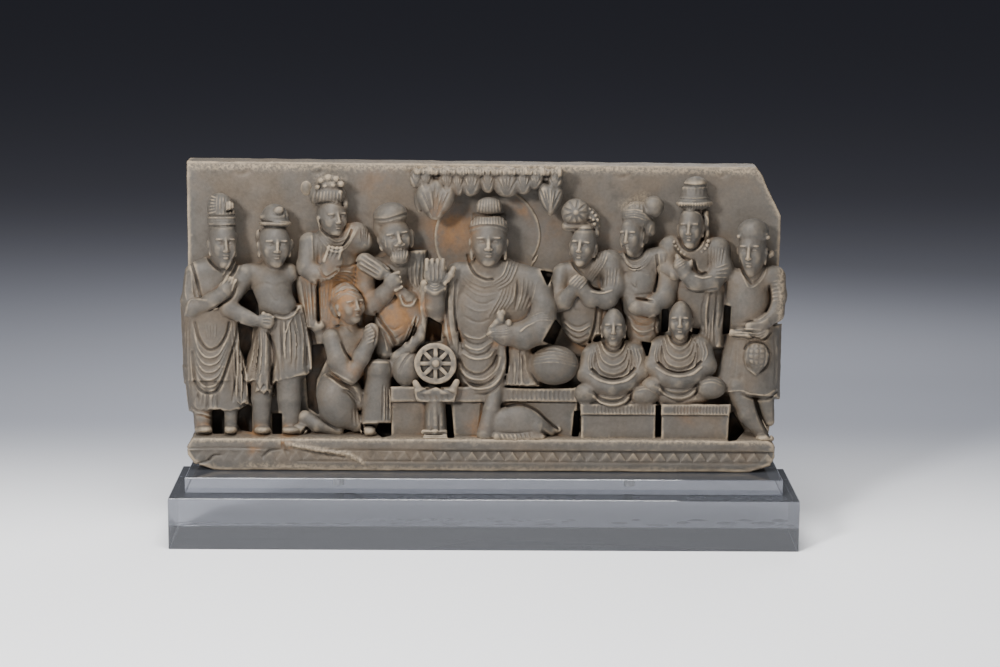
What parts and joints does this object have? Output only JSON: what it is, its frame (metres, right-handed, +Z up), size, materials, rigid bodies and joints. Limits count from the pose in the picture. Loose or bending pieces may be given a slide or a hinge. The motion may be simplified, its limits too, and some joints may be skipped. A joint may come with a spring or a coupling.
{
  "type": "stone relief frieze on a display stand",
  "caption": "Long stone relief slab with standing and seated figures round a central seated one, on a ledge, held up by a clear block stand with pins.",
  "frame": {"origin": "centre of the underside of the stand's lower block", "axes": "+Z up, the carved front faces -Y, +X runs to the right along the slab as seen from the front"},
  "size_m": [0.6, 0.125, 0.3605],
  "materials": {
    "stone": "weathered grey-brown schist, matt, with tan deposits in the hollows",
    "acrylic": "clear cast acrylic, polished faces and edges",
    "pin": "pale clear rod, frosted by its bore"
  },
  "bodies": {
    "root": {"frieze": "stone", "stand_bottom_sheet": "acrylic", "stand_top_sheet": "acrylic", "stand_riser": "acrylic", "pin_left": "pin", "pin_right": "pin"}
  },
  "joints": []
}
